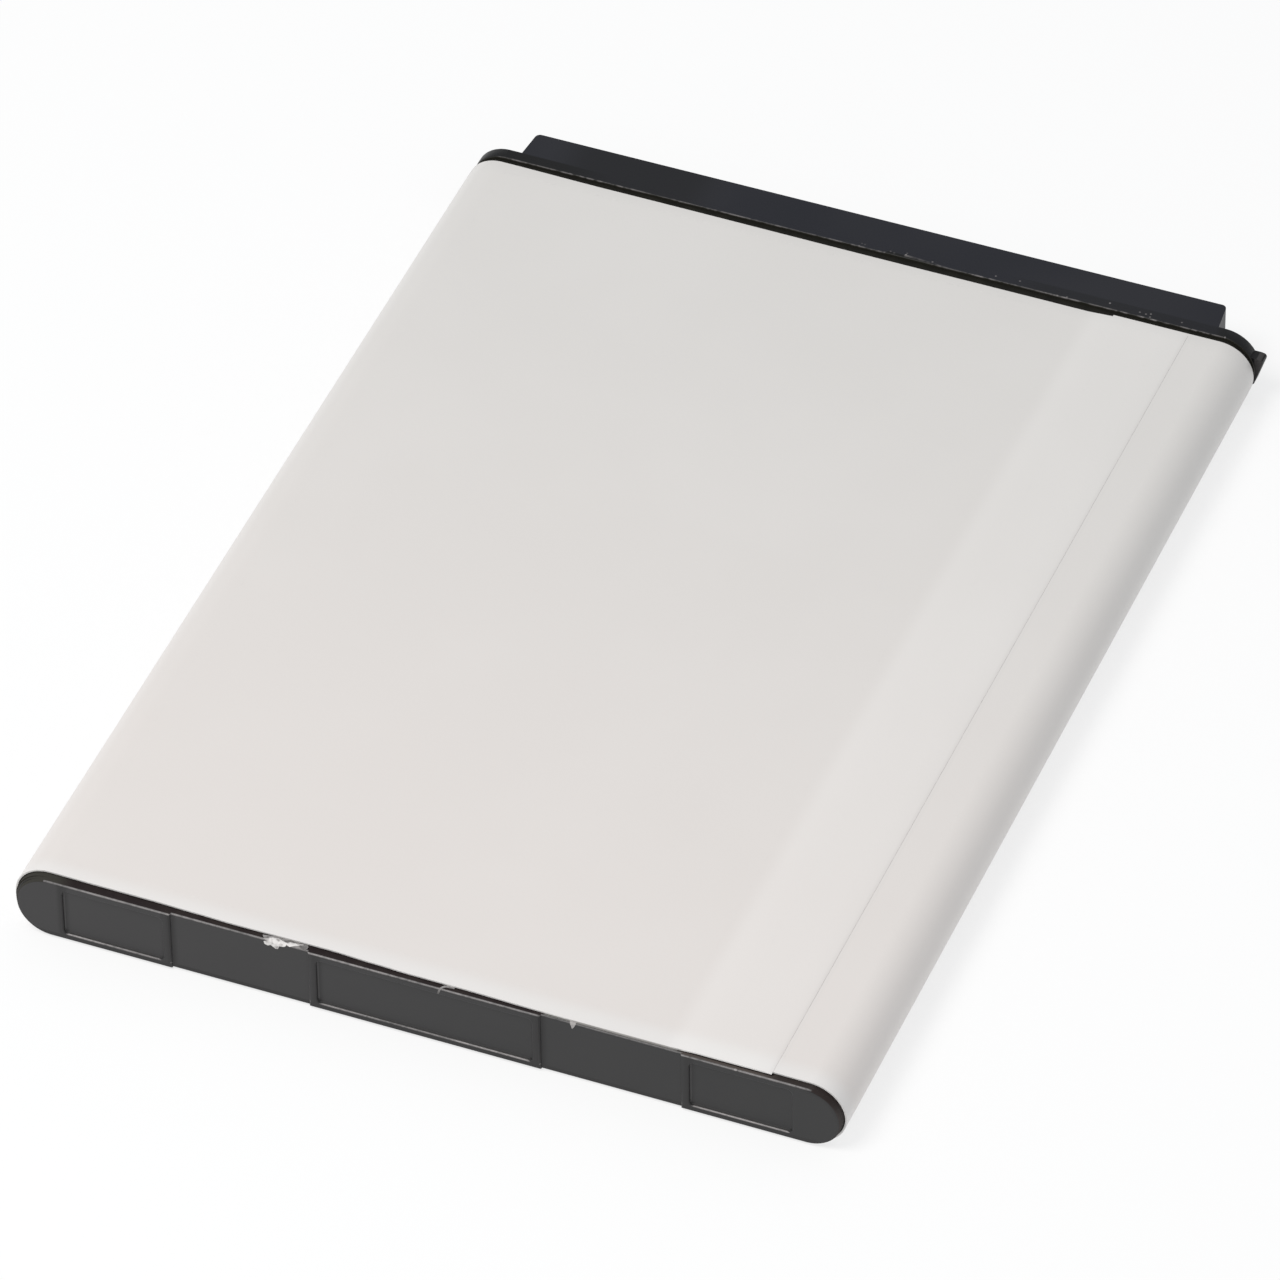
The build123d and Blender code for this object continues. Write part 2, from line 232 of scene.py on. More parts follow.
near_cut = ((-23.3, 0.73), (-20, 0.70), (-17, 0.69), (-14, 0.63), (-12, 0.58), (-6, 0.62), (-3, 0.51),
            (-1, 0.44), (2, 0.43), (7.5, 0.34), (10, 0.29), (11.5, 0.26), (13, 0.27), (15, 0.30),
            (21.3, 0.29))       # x, then mm behind the pads' faces
far_cut = ((-23.3, 0.46), (-16, 0.56), (5, 0.68), (21.3, 0.72))     # x, then mm before the flange
near_cut_right = 0.51 * MM
far_cut_right = 0.46 * MM
near_droop_start = 1.9 * MM
far_droop_start = 1.25 * MM
near_droop = 0.030 * MM
far_droop = 0.050 * MM

label_low, label_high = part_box("label_wrap")
cap_low, cap_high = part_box("top_cap")
pads_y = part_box("bottom_cap")[0].y
flange_y = cap_low.y + skirt_length
label_top = label_high.z - film
middle_z = (label_low.z + label_top) / 2
label_round = label_top - middle_z
label_flat = label_high.x - label_round
lap_end = label_flat - lap_margin
lap_start = lap_end - lap_width


def begin_edit(piece):
    """Open a piece for editing, with nothing selected."""
    bpy.ops.object.select_all(action="DESELECT")
    bpy.context.view_layer.objects.active = piece
    piece.select_set(True)
    bpy.ops.object.mode_set(mode="EDIT")
    bpy.ops.mesh.select_all(action="DESELECT")


def middle(item):
    """The middle of a vertex, an edge or a face."""
    if isinstance(item, bmesh.types.BMVert):
        return item.co
    return sum((vertex.co for vertex in item.verts), Vector()) / len(item.verts)


def select_only(kind, test):
    """In edit mode, select just the vertices, edges or faces that pass the test."""
    bpy.ops.mesh.select_mode(type=kind)
    bpy.ops.mesh.select_all(action="DESELECT")
    mesh = bpy.context.object.data
    shape = bmesh.from_edit_mesh(mesh)
    items = {"VERT": shape.verts, "EDGE": shape.edges, "FACE": shape.faces}[kind]
    for item in items:
        if test(item):
            item.select_set(True)
    shape.select_flush_mode()
    bmesh.update_edit_mesh(mesh)


def extrude(offset):
    bpy.ops.mesh.extrude_region_move(TRANSFORM_OT_translate={"value": offset})


def apply_modifier(piece, kind, **settings):
    """Add a modifier to a piece and apply it."""
    bpy.context.view_layer.objects.active = piece
    modifier = piece.modifiers.new(kind.lower(), kind)
    for key, value in settings.items():
        setattr(modifier, key, value)
    bpy.ops.object.modifier_apply(modifier=modifier.name)


def shade_smooth(piece, angle=30):
    """Smooth shading that leaves edges sharper than the angle crisp and flat faces flat."""
    bpy.ops.object.select_all(action="DESELECT")
    bpy.context.view_layer.objects.active = piece
    piece.select_set(True)
    bpy.ops.object.shade_smooth_by_angle(angle=math.radians(angle))
    apply_modifier(piece, "WEIGHTED_NORMAL", keep_sharp=True)


def along_line(points, x):
    """Value at x of a smooth line through given points of x and value, all in millimetres."""
    x = min(max(x, points[0][0]), points[-1][0])
    for (x0, v0), (x1, v1) in zip(points, points[1:]):
        if x <= x1:
            t = (x - x0) / (x1 - x0)
            return v0 + (v1 - v0) * t * t * (3 - 2 * t)


def cut_edges(point):
    """Where the film's near and far edges lie at a point of the wrap."""
    x_mm = point.x / MM
    outer = point.z > middle_z and (point.x < lap_start - film / 2 or point.z > label_top + film / 2)
    if outer:
        return pads_y + along_line(near_cut, x_mm) * MM, flange_y - along_line(far_cut, x_mm) * MM
    left_share = min(max((label_flat - point.x) / (2 * label_flat), 0), 1)
    near_left = near_cut[0][1] * MM
    far_left = far_cut[0][1] * MM
    return (pads_y + near_cut_right + (near_left - near_cut_right) * left_share,
            flange_y - far_cut_right - (far_left - far_cut_right) * left_share)


def drawn_down(y):
    """How far the film is drawn in towards the pack at a place along its length."""
    near = max(0, (pads_y + near_droop_start - y) / near_droop_start)
    far = max(0, (y - flange_y + far_droop_start) / far_droop_start)
    return near_droop * near ** 2 + far_droop * far ** 2


sheet_near = pads_y + sheet_margin
sheet_far = flange_y - sheet_margin
sheet_middle = ((lap_start + label_flat) / 2, (sheet_near + sheet_far) / 2, label_top)
bpy.ops.mesh.primitive_plane_add(size=1, location=sheet_middle)
label = bpy.context.object
label.name = "label_film"
label.scale = (label_flat - lap_start, sheet_far - sheet_near, 1)
bpy.ops.object.transform_apply(location=True, rotation=True, scale=True)
begin_edit(label)
select_only("EDGE", lambda edge: abs(middle(edge).x - label_flat) < film / 10)
bpy.ops.mesh.spin(steps=side_steps, angle=-math.pi, center=(label_flat, 0, middle_z), axis=(0, 1, 0))
for _ in range(underside_columns):
    extrude((-2 * label_flat / underside_columns, 0, 0))
bpy.ops.mesh.spin(steps=side_steps, angle=-math.pi, center=(-label_flat, 0, middle_z), axis=(0, 1, 0))
top_run = label_flat + lap_start - lap_ramp
for _ in range(top_columns):
    extrude((top_run / top_columns, 0, 0))
for _ in range(ramp_columns):
    extrude((lap_ramp / ramp_columns, 0, (film + film_rest) / ramp_columns))
for _ in range(lap_columns):
    extrude(((lap_width - lap_taper) / lap_columns, 0, 0))
extrude((lap_taper, 0, 0))
rows = [pads_y + row * MM for row in near_rows] + [flange_y - row * MM for row in far_rows]
first_long = rows[len(near_rows) - 1]
last_long = rows[len(near_rows)]
rows += [first_long + (last_long - first_long) * i / long_rows for i in range(1, long_rows)]
for row in rows:
    bpy.ops.mesh.select_all(action="SELECT")
    bpy.ops.mesh.bisect(plane_co=(0, row, 0), plane_no=(0, 1, 0))
sheet = bmesh.from_edit_mesh(label.data)
for vertex in sheet.verts:
    near_edge, far_edge = cut_edges(vertex.co)
    if vertex.co.y < sheet_near + film / 10:
        vertex.co.y = near_edge
    elif vertex.co.y > sheet_far - film / 10:
        vertex.co.y = far_edge
    else:
        vertex.co.y = min(max(vertex.co.y, near_edge + film / 4), far_edge - film / 4)
    if vertex.co.z > label_top + film / 2 and vertex.co.x > lap_end - film:
        vertex.co.x += lap_askew * vertex.co.y
    axis_x = min(max(vertex.co.x, -label_flat), label_flat)
    inward = Vector((vertex.co.x - axis_x, 0, vertex.co.z - middle_z)).normalized()
    vertex.co -= inward * drawn_down(vertex.co.y)
bmesh.update_edit_mesh(label.data)
bpy.ops.mesh.select_all(action="SELECT")
bpy.ops.mesh.remove_doubles(threshold=film / 100)
bpy.ops.object.mode_set(mode="OBJECT")
apply_modifier(label, "SOLIDIFY", thickness=film, offset=-1)
begin_edit(label)
select_only("VERT", lambda vertex: vertex.co.z > label_top + film - drawn_down(vertex.co.y)
            and vertex.co.x > lap_end - lap_taper / 2)
bpy.ops.transform.translate(value=(0, 0, -lap_thinned))
bpy.ops.object.mode_set(mode="OBJECT")
shade_smooth(label)

# The film is painted darker towards its far end as painted shade, and lighter along its near edge as painted
# light.
film_near = (0.745, 0.702, 0.674, 1)
film_far_painted_shade = (0.705, 0.684, 0.660, 1)
film_edge_painted_light = (0.765, 0.742, 0.724, 1)        # painted light along the near edge, where the film rolls over
film_lapped = (0.90, 0.88, 0.86, 1)
film_soiled = (0.34, 0.325, 0.31, 1)
seam_shade = (0.45, 0.43, 0.41, 1)
edge_roll = 0.15 * MM       # how far the film's tone rolls over towards its two cut edges
near_end = pads_y / MM
far_end = flange_y / MM
lap_edge = lap_end / MM
climb = (lap_start - lap_ramp) / MM         # where the outer layer starts to climb onto the under layer
soiled_span = (7.5, 15.2)   # mm along x where the near edge is soiled
film_material, start = new_material("label_polyester")
place, x, y, z = start.place()
top_side = z.rise(middle_z / MM, label_top / MM)
cloud = start.noise(place, 90.0, 3.0)
# Painted shade towards the far end, then painted light along the near edge.
tone = y.rise(near_end, far_end).blend(film_near, film_far_painted_shade)
tone = (1 - y.rise(near_end + 0.7, near_end + 2.1)).blend(tone, film_edge_painted_light)
across = x - y * lap_askew
lapped = across.rise(climb - 0.5, climb + 0.7) * (1 - across.rise(lap_edge, lap_edge + 0.35)) * top_side
lapped = lapped * ((1 - y.rise(near_end + 0.9, near_end + 2.4)) * 0.10 + 0.17)
tone = (lapped + cloud.rise(0.35, 0.75) * 0.06).blend(tone, film_lapped)
# Painted shadow beside the lap's free edge, where the outer layer steps down.
seam_shadow = across.within(lap_edge - 0.05, lap_edge + 0.12, 0.22) * top_side
tone = (seam_shadow * (cloud * 0.10 + 0.05)).blend(tone, seam_shade)
soiled = x.within(soiled_span[0] - 0.3, soiled_span[1] + 0.3, 0.3) * top_side
soiled = soiled * (1 - y.rise(near_end + 0.28, near_end + 0.34))
tone = soiled.blend(tone, film_soiled)
grain = start.noise(place, 5200.0)
ripple = start.noise(place, 160.0)
rolled = y.rise(near_end - 1.0, near_end + 1.6) - y.rise(far_end - 1.6, far_end + 1.0)
relief = start.bump(rolled, edge_roll)
relief = start.bump(ripple, 0.10 * MM, 0.35, start.bump(grain, 0.02 * MM, 0.25, relief))
start.finish(Base_Color=tone, Roughness=grain * 0.10 + 0.27, Normal=relief, IOR=1.5)
label.data.materials.append(film_material)
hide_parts("label_wrap")
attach(label, "root")

# Bottom cap. A black moulding taped to the can's base: a plate with full-round ends and three raised
# pads, each with a shallow framed panel, and a step behind the plate that the label's edge lies over.
plate_depth = 0.30 * MM
pad_height = 0.14 * MM
centre_pad_half = 7.10 * MM
outer_pad_flat = 7.51 * MM
panel_depth = 0.16 * MM
panel_frame = 0.52 * MM
panel_end_frame = 0.81 * MM
panel_frame_z = 0.46 * MM
panel_corner = 0.30 * MM
panel_mouth_round = 0.10 * MM
plate_round = 0.12 * MM
crisp_edge = 0.035 * MM     # what a moulded edge is rounded by
step_inset = 0.05 * MM      # how far the step under the label's edge lies below the plate's outline
step_parts = ((0, 0.09, 0.01), (0.20, 0.20, 0.05))      # mm behind the plate, then beyond its two ends
pad_nick_x = 18.98          # a bright nick in the right pad's top edge, mm
arc_points = 96             # round a full circle
edge_steps = 4              # across a rounded edge
corner_steps = 6            # round a panel's corner


def rounded_bar(name, low, high):
    """A bar along Y with full-round sides: a disc whose halves are moved apart, then extruded."""
    radius = (high.z - low.z) / 2
    flat = (high.x - low.x) / 2 - radius
    bpy.ops.object.select_all(action="DESELECT")
    bpy.ops.mesh.primitive_circle_add(vertices=arc_points, radius=radius, fill_type="NGON",
                                      rotation=(math.pi / 2, math.pi / arc_points, 0))
    bar = bpy.context.object
    bar.name = name
    bpy.ops.object.transform_apply(location=True, rotation=True, scale=True)
    begin_edit(bar)
    for side in (-1, 1):
        select_only("VERT", lambda vertex: vertex.co.x * side > 0)
        bpy.ops.transform.translate(value=(side * flat, 0, 0))
    bpy.ops.mesh.select_all(action="SELECT")
    bpy.ops.transform.translate(value=((low.x + high.x) / 2, low.y, (low.z + high.z) / 2))
    extrude((0, high.y - low.y, 0))
    bpy.ops.mesh.select_all(action="SELECT")
    bpy.ops.mesh.normals_make_consistent(inside=False)
    bpy.ops.object.mode_set(mode="OBJECT")
    return bar


def box_piece(name, low, high):
    """A block between two corners, the start of a cutter or of a squarer moulding."""
    bpy.ops.object.select_all(action="DESELECT")
    bpy.ops.mesh.primitive_cube_add(size=1, location=(low + high) / 2)
    block = bpy.context.object
    block.name = name
    block.scale = high - low
    bpy.ops.object.transform_apply(location=True, rotation=True, scale=True)
    return block


def bevel_edges(piece, test, width, steps):
    """Round the edges that pass the test."""
    begin_edit(piece)
    select_only("EDGE", test)
    bpy.ops.mesh.bevel(offset=width, segments=steps, affect="EDGES", clamp_overlap=True)
    bpy.ops.object.mode_set(mode="OBJECT")


def combine(body, tool, operation):
    """Join a tool to a body, or cut it away, and delete the tool."""
    apply_modifier(body, "BOOLEAN", object=tool, operation=operation, solver="EXACT")
    bpy.data.objects.remove(tool)


def lies_at(value, place):
    return abs(value - place) < 0.001 * MM


low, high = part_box("bottom_cap")
zones_y = low.y + pad_height
plate_back_y = low.y + plate_depth
cap_centre = (low.x + high.x) / 2
plate_half = (high.x - low.x) / 2
plate_radius = (high.z - low.z) / 2
plate_flat = plate_half - plate_radius
outer_start = plate_flat - outer_pad_flat
panel_low_z = low.z + panel_frame_z
panel_high_z = high.z - panel_frame_z
plate = rounded_bar("bottom_cap_moulding", Vector((low.x, zones_y, low.z)),
                    Vector((high.x, plate_back_y, high.z)))
bevel_edges(plate, lambda edge: lies_at(middle(edge).y, zones_y), plate_round, edge_steps)
for behind, beyond_left, beyond_right in step_parts:
    step_low = Vector((low.x - beyond_left * MM, plate_back_y + behind * MM, low.z + step_inset))
    step_high = Vector((high.x + beyond_right * MM, high.y, high.z - step_inset))
    combine(plate, rounded_bar("step", step_low - Vector((0, plate_depth / 4, 0)), step_high), "UNION")

outer_panel = (outer_start + panel_frame, plate_flat - panel_end_frame)
pads = (((-plate_half - crisp_edge, -outer_start), (-outer_panel[1], -outer_panel[0])),
        ((-centre_pad_half, centre_pad_half), (panel_frame - centre_pad_half, centre_pad_half - panel_frame)),
        ((outer_start, plate_half + crisp_edge), outer_panel))
for (pad_left, pad_right), (panel_left, panel_right) in pads:
    pad = rounded_bar("pad", low, Vector((high.x, plate_back_y, high.z)))
    combine(pad, box_piece("span", Vector((cap_centre + pad_left, low.y - MM, low.z - MM)),
                           Vector((cap_centre + pad_right, plate_back_y + MM, high.z + MM))), "INTERSECT")
    bevel_edges(pad, lambda edge: lies_at(middle(edge).y, low.y), plate_round, edge_steps)
    cutter = box_piece("panel", Vector((cap_centre + panel_left, low.y - MM, panel_low_z)),
                       Vector((cap_centre + panel_right, low.y + panel_depth, panel_high_z)))
    bevel_edges(cutter, lambda edge: lies_at(edge.verts[0].co.x, edge.verts[1].co.x)
                and lies_at(edge.verts[0].co.z, edge.verts[1].co.z), panel_corner, corner_steps)
    combine(pad, cutter, "DIFFERENCE")
    bevel_edges(pad, lambda edge: lies_at(middle(edge).y, low.y)
                and panel_left - crisp_edge < middle(edge).x - cap_centre < panel_right + crisp_edge
                and panel_low_z - crisp_edge < middle(edge).z < panel_high_z + crisp_edge,
                panel_mouth_round, edge_steps)
    combine(plate, pad, "UNION")

bottom_plastic = (0.0225, 0.0212, 0.0220, 1)
# painted shade: the plastic darkens from left to right
bottom_plastic_painted_shade = (0.0120, 0.0118, 0.0122, 1)
# pale along rubbed edges: partly wear, partly painted highlight
plastic_worn_and_highlight = (0.240, 0.222, 0.220, 1)
# painted shade beside walls that face right, under the lower lips and round the right end
painted_shade_black = (0.0050, 0.0042, 0.0045, 1)
shoulder_dark = (0.0160, 0.0108, 0.0112, 1)
shoulder_light = (0.0250, 0.0190, 0.0175, 1)
# painted light where the gap under the film lies in shade
shoulder_right_painted_light = (0.0750, 0.0620, 0.0560, 1)
shoulder_soiled = (0.240, 0.235, 0.220, 1)
shoulder_far = (0.0300, 0.0240, 0.0220, 1)
# olive, made lighter at the left end as painted light
shoulder_olive_painted_light = (0.0380, 0.0360, 0.0300, 1)
# painted light on the right end's rounding
shoulder_end_painted_light = (0.0580, 0.0500, 0.0470, 1)
shoulder_brown = (0.0260, 0.0190, 0.0175, 1)
# painted light on the walls that face right and on the panel floors along the lower lips
wall_painted_light = (0.0480, 0.0460, 0.0460, 1)


def black_moulding(name, gloss, plastic, worn_and_highlit):
    """Black glass-filled plastic with a fine spark-eroded grain. The function given third sets its tone
    before wear, with painted shade and light, and the function given fourth its rubbed places, which also
    carry painted highlights."""
    material, start = new_material(name)
    place, x, y, z = start.place()
    grain = start.noise(place, 9000.0, 3.0)
    cloud = start.noise(place, 260.0, 3.0)
    rubbed_and_highlit = worn_and_highlit(start, place, x, y, z)
    # Rubbed places are lightened, partly as wear and partly as a painted highlight.
    tone = rubbed_and_highlit.blend(plastic(start, place, x, y, z), plastic_worn_and_highlight)
    relief = start.bump(grain, 0.01 * MM, 0.35)
    start.finish(Base_Color=tone, Roughness=cloud * 0.12 + 0.40 - rubbed_and_highlit * 0.12, Normal=relief, IOR=1.5,
                 Specular_IOR_Level=gloss)
    return material


def shoulder_black(name, dark, light, stained_and_lit):
    """The same plastic where the label's adhesive has left it dull; the function given last adds what is on
    top of that, stains and painted light.
    """
    material, start = new_material(name)
    place, x, y, z = start.place()
    smear = start.noise(place, 700.0, 4.0)
    tone = stained_and_lit(start, place, x, y, z, smear.rise(0.40, 0.70).blend(dark, light))
    start.finish(Base_Color=tone, Roughness=smear * 0.2 + 0.7, Specular_IOR_Level=0.2,
                 Normal=start.bump(smear, 0.02 * MM, 0.5))
    return material


def stained_and_lit_shoulder(start, place, x, y, z, tone):
    """Olive towards the left end and lighter there as painted light, lighter from x 6 mm rightwards as
    painted light, grey over the right zone, darker beyond x 21 mm, and on the right end's rounding lighter as
    painted light, brown on its upper part.
    """
    olive = 1 - x.rise(-plate_flat / MM + 0.2, -plate_flat / MM + 1.6)
    # Painted light towards the right, where the gap under the film lies in shade.
    tone = x.rise(6.0, 12.0).blend(tone, shoulder_right_painted_light)
    tone = x.within(soiled_span[0], soiled_span[1], 0.3).blend(tone, shoulder_soiled)
    tone = x.rise(20.5, 21.6).blend(tone, shoulder_far)
    # Painted light on the right end's rounding, brown on its upper part.
    rounding = x.rise(plate_flat / MM + 0.1, plate_flat / MM + 0.6)
    tone = rounding.blend(olive.blend(tone, shoulder_olive_painted_light), shoulder_end_painted_light)
    return (rounding * z.rise(middle_z / MM + 0.4, middle_z / MM + 1.6)).blend(tone, shoulder_brown)


def shaded_and_lit_pads(start, place, x, y, z):
    """Painted shade beside the walls that face right, under the lower lips and round the right end's upper
    part, and painted light on the walls and steps that face right and on the panel floors along the lower
    lips.
    """
    # Painted shade: darker from left to right.
    tone = x.rise(-26.0, 26.0).blend(bottom_plastic, bottom_plastic_painted_shade)
    left_walls = (-outer_panel[1], panel_frame - centre_pad_half, outer_panel[0])
    right_steps = (-outer_start, centre_pad_half)
    across = x - cap_centre / MM
    panel_foot = panel_low_z / MM
    # Painted shade under the lower lips, beside the walls and steps that face right, on the frame strips left
    # of the steps and round the right end's upper part.
    dark = 1 - z.rise(panel_foot - 0.16, panel_foot - 0.06)
    for corner in left_walls + right_steps:
        dark = dark.most(across.within(corner / MM - 0.12, corner / MM + 0.10, 0.35) * 0.9)
    for wall in right_steps:
        dark = dark.most(across.within((wall - panel_frame) / MM, wall / MM, 0.1) * 0.5)
    from_end = x - (cap_centre + plate_flat) / MM
    from_middle = z - middle_z / MM
    end_ring = from_end.reach(from_middle).rise(1.70, 2.05)
    dark = dark.most(end_ring * from_end.rise(-0.6, 0.5) * from_middle.rise(-0.4, 0.9))
    tone = dark.blend(tone, painted_shade_black)
    inside = sum(across.within(left / MM - 0.02, right / MM + 0.02, 0.01) for _, (left, right) in pads)
    inside = inside * z.within(panel_foot - 0.02, panel_high_z / MM, 0.02)
    inside = inside * y.rise(low.y / MM + 0.08, low.y / MM + 0.10)
    # Painted light on the panel floors along the lower lips, beside the walls that face right, and in a
    # narrow strip at each step that faces right.
    painted_light_mask = 1 - z.rise(panel_foot + 0.06, panel_foot + 0.16)
    for corner in left_walls:
        painted_light_mask = painted_light_mask.most(across.within(corner / MM - 0.02, corner / MM + 0.07, 0.05))
    painted_light_mask = inside * painted_light_mask
    for corner in right_steps:
        painted_light_mask = painted_light_mask.most(across.within(corner / MM - 0.03, corner / MM + 0.015, 0.02) * 0.5)
    return painted_light_mask.blend(tone, wall_painted_light)


def rubbed_and_highlit_pads(start, place, x, y, z):
    """Rubbed along the top front edges and along the lower lip of each panel, unevenly, and lightened there
    as a painted highlight as well as wear.
    """
    panel_foot = panel_low_z / MM
    top_edge = z.rise(high.z / MM - 0.095, high.z / MM - 0.045)
    nick = 1 - x.math("ABSOLUTE", x - pad_nick_x).rise(0.05, 0.13)
    lip = z.within(panel_foot - 0.065, panel_foot - 0.015, 0.02)
    lip = lip * y.within(low.y / MM + 0.010, low.y / MM + 0.105, 0.005)
    speckle = start.noise(place, 3000.0, 4.0).rise(0.30, 0.60)
    uneven = start.noise(place, 350.0, 2.0).rise(0.30, 0.65)
    zones = x.within(-outer_start / MM, -centre_pad_half / MM, 0.1)
    zones = zones + x.within(centre_pad_half / MM, outer_start / MM, 0.1)
    top_edge = top_edge * (0.66 - zones * (x.rise(-4.0, 4.0) * 0.28 + 0.08))
    worn_and_highlit = top_edge.most(lip) * (speckle * 0.45 + uneven * 0.45 + 0.15)
    return worn_and_highlit.most(top_edge * nick * 1.6)


def face_of(piece, test, slot):
    """Give the faces that pass the test the piece's material of that number."""
    for face in piece.data.polygons:
        if test(face):
            face.material_index = slot


def behind_rounding(face):
    """True for the plate's outline behind its rounded front edge, for the step, and for the rounding itself
    at the two ends."""
    beyond_x = max(abs(face.center.x - cap_centre) - plate_flat, 0)
    beyond = Vector((beyond_x, face.center.z - (low.z + high.z) / 2)).length
    facing = abs(face.normal.y)
    on_outline = beyond > plate_radius - 0.005 * MM and facing < 0.15
    at_end = beyond_x > 0.3 * MM and beyond > plate_radius - plate_round and facing < 0.9
    return face.center.y > plate_back_y or (face.center.y > low.y + plate_round and on_outline) or at_end


plate.data.materials.append(black_moulding("bottom_cap_plastic", 0.5, shaded_and_lit_pads, rubbed_and_highlit_pads))
plate.data.materials.append(shoulder_black("bottom_cap_shoulder", shoulder_dark, shoulder_light,
                                           stained_and_lit_shoulder))
face_of(plate, behind_rounding, 1)
shade_smooth(plate)
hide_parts("bottom_cap")
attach(plate, "root")

# Top cap. The other black moulding, snapped over the board: a skirt under the label's end, a flange with
# the pack's own outline, the block with the contact windows, and a keying ear on the right end only.
flange_length = 0.81 * MM
skirt_inset_x = 0.15 * MM
skirt_inset_z = 0.22 * MM
skirt_wall = 0.33 * MM
flange_end_wall = 0.40 * MM
flange_front_round = 0.06 * MM
block_inset = 2.80 * MM
block_draft = 0.19 * MM
block_shift = 0.16 * MM
block_corner = 0.30 * MM
block_edge_round = 0.12 * MM
block_side_wall = 0.60 * MM
block_front_wall = 0.60 * MM
ear_root = 1.60 * MM
ear_drop = 1.12 * MM
ear_height = 1.95 * MM
ear_lean = 0.60 * MM
ear_foot = 0.30 * MM
ear_reach = 0.56 * MM
ear_corner = 0.34 * MM
window_flare = 0.15 * MM
contact_gap = 0.10 * MM     # round each contact in its window
snap_half = 1.00 * MM
snap_depth = 0.35 * MM
snap_rise = 0.17 * MM
snap_spacing = 15.00 * MM
snap_gap = 0.04 * MM
top_plastic = (0.0105, 0.0112, 0.0168, 1)
top_plastic_light = (0.0165, 0.0168, 0.0218, 1)
# darker at the flange's ends; painted shade at its right end and in its dent
top_plastic_darker = (0.0040, 0.0040, 0.0044, 1)
# dust with painted light, for the flange's front face down in the groove
groove_dust_and_light = (0.0230, 0.0220, 0.0170, 1)
chips = ((-0.07, 0.04, 0.5), (0.02, 0.30, 0.2), (0.22, 0.28, 0.2), (1.90, 0.24, 0.3), (2.15, 0.18, 0.25),
         (2.88, 0.27, 1.0), (2.90, 0.42, 0.3), (4.61, 0.22, 0.6), (8.64, 0.37, 0.6), (10.16, 0.46, 0.5),
         (12.72, 0.03, 0.7), (13.31, 0.09, 0.6), (15.92, 0.50, 1.0), (17.88, 0.37, 0.6), (18.28, 0.33, 0.6),
         (18.56, 0.44, 0.7), (18.60, 0.16, 0.6), (20.56, 0.38, 0.5),
         (23.42, 0.05, 0.7))    # x, mm behind the flange's front edge, and how bright
chip_size = 0.06
dent_steep = (1.5, 1.8)     # mm along x where the knock in the flange's edge sets in
dent_gentle = (2.9, 6.2)    # and where it runs out
dent_depth = 0.22
skirt_dark = (0.0085, 0.0080, 0.0062, 1)
skirt_light = (0.0150, 0.0140, 0.0105, 1)

flange_half = -cap_low.x
block_y = flange_y + flange_length
block_half = flange_half - block_inset
contact_y = cap_high.y
board_low, board_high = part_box("circuit_board")
cap_body = rounded_bar("top_cap_moulding", Vector((-flange_half, flange_y, cap_low.z)),
                       Vector((flange_half, block_y, cap_high.z)))
bevel_edges(cap_body, lambda edge: lies_at(middle(edge).y, flange_y), flange_front_round, 3)
bevel_edges(cap_body, lambda edge: lies_at(middle(edge).y, block_y), crisp_edge, 2)
skirt_low = Vector((-flange_half + skirt_inset_x, cap_low.y, cap_low.z + skirt_inset_z))
skirt_high = Vector((flange_half - skirt_inset_x, flange_y + flange_length / 2, cap_high.z - skirt_inset_z))
combine(cap_body, rounded_bar("skirt", skirt_low, skirt_high), "UNION")

block = box_piece("block", Vector((block_shift - block_half, block_y - flange_length / 2, cap_low.z)),
                  Vector((block_shift + block_half, contact_y, cap_high.z)))
begin_edit(block)
bpy.ops.mesh.select_all(action="SELECT")
bpy.ops.mesh.bisect(plane_co=(0, block_y, 0), plane_no=(0, 1, 0))
for side in (-1, 1):
    select_only("VERT", lambda vertex: lies_at(vertex.co.y, contact_y) and vertex.co.x * side > 0)
    bpy.ops.transform.translate(value=(-side * block_draft, 0, 0))
bpy.ops.object.mode_set(mode="OBJECT")
bevel_edges(block, lambda edge: lies_at(middle(edge).y, contact_y) and abs(middle(edge).x) > block_half / 2,
            block_corner, 5)
bevel_edges(block, lambda edge: lies_at(middle(edge).y, contact_y), block_edge_round, 3)
combine(cap_body, block, "UNION")

ear_top = cap_high.z - ear_drop
ear_step = ear_top - ear_height
ear = box_piece("ear", Vector((flange_half - ear_root, flange_y + crisp_edge, ear_step - ear_foot)),
                Vector((flange_half + ear_reach, block_y - crisp_edge / 2, ear_top)))
begin_edit(ear)
bpy.ops.mesh.select_all(action="SELECT")
bpy.ops.mesh.bisect(plane_co=(0, 0, ear_step), plane_no=(0, 0, 1))
select_only("VERT", lambda vertex: vertex.co.x > flange_half and lies_at(vertex.co.z, ear_step))
bpy.ops.transform.translate(value=(-ear_lean, 0, 0))
select_only("VERT", lambda vertex: vertex.co.x > flange_half and lies_at(vertex.co.z, ear_step - ear_foot))
bpy.ops.transform.translate(value=(-ear_lean - ear_foot, 0, 0))
bpy.ops.object.mode_set(mode="OBJECT")
bevel_edges(ear, lambda edge: lies_at(middle(edge).x, flange_half + ear_reach)
            and lies_at(middle(edge).z, ear_top), ear_corner, 4)
bevel_edges(ear, lambda edge: middle(edge).x > flange_half
            and abs(edge.verts[0].co.y - edge.verts[1].co.y) < crisp_edge, crisp_edge / 2, 1)
combine(cap_body, ear, "UNION")

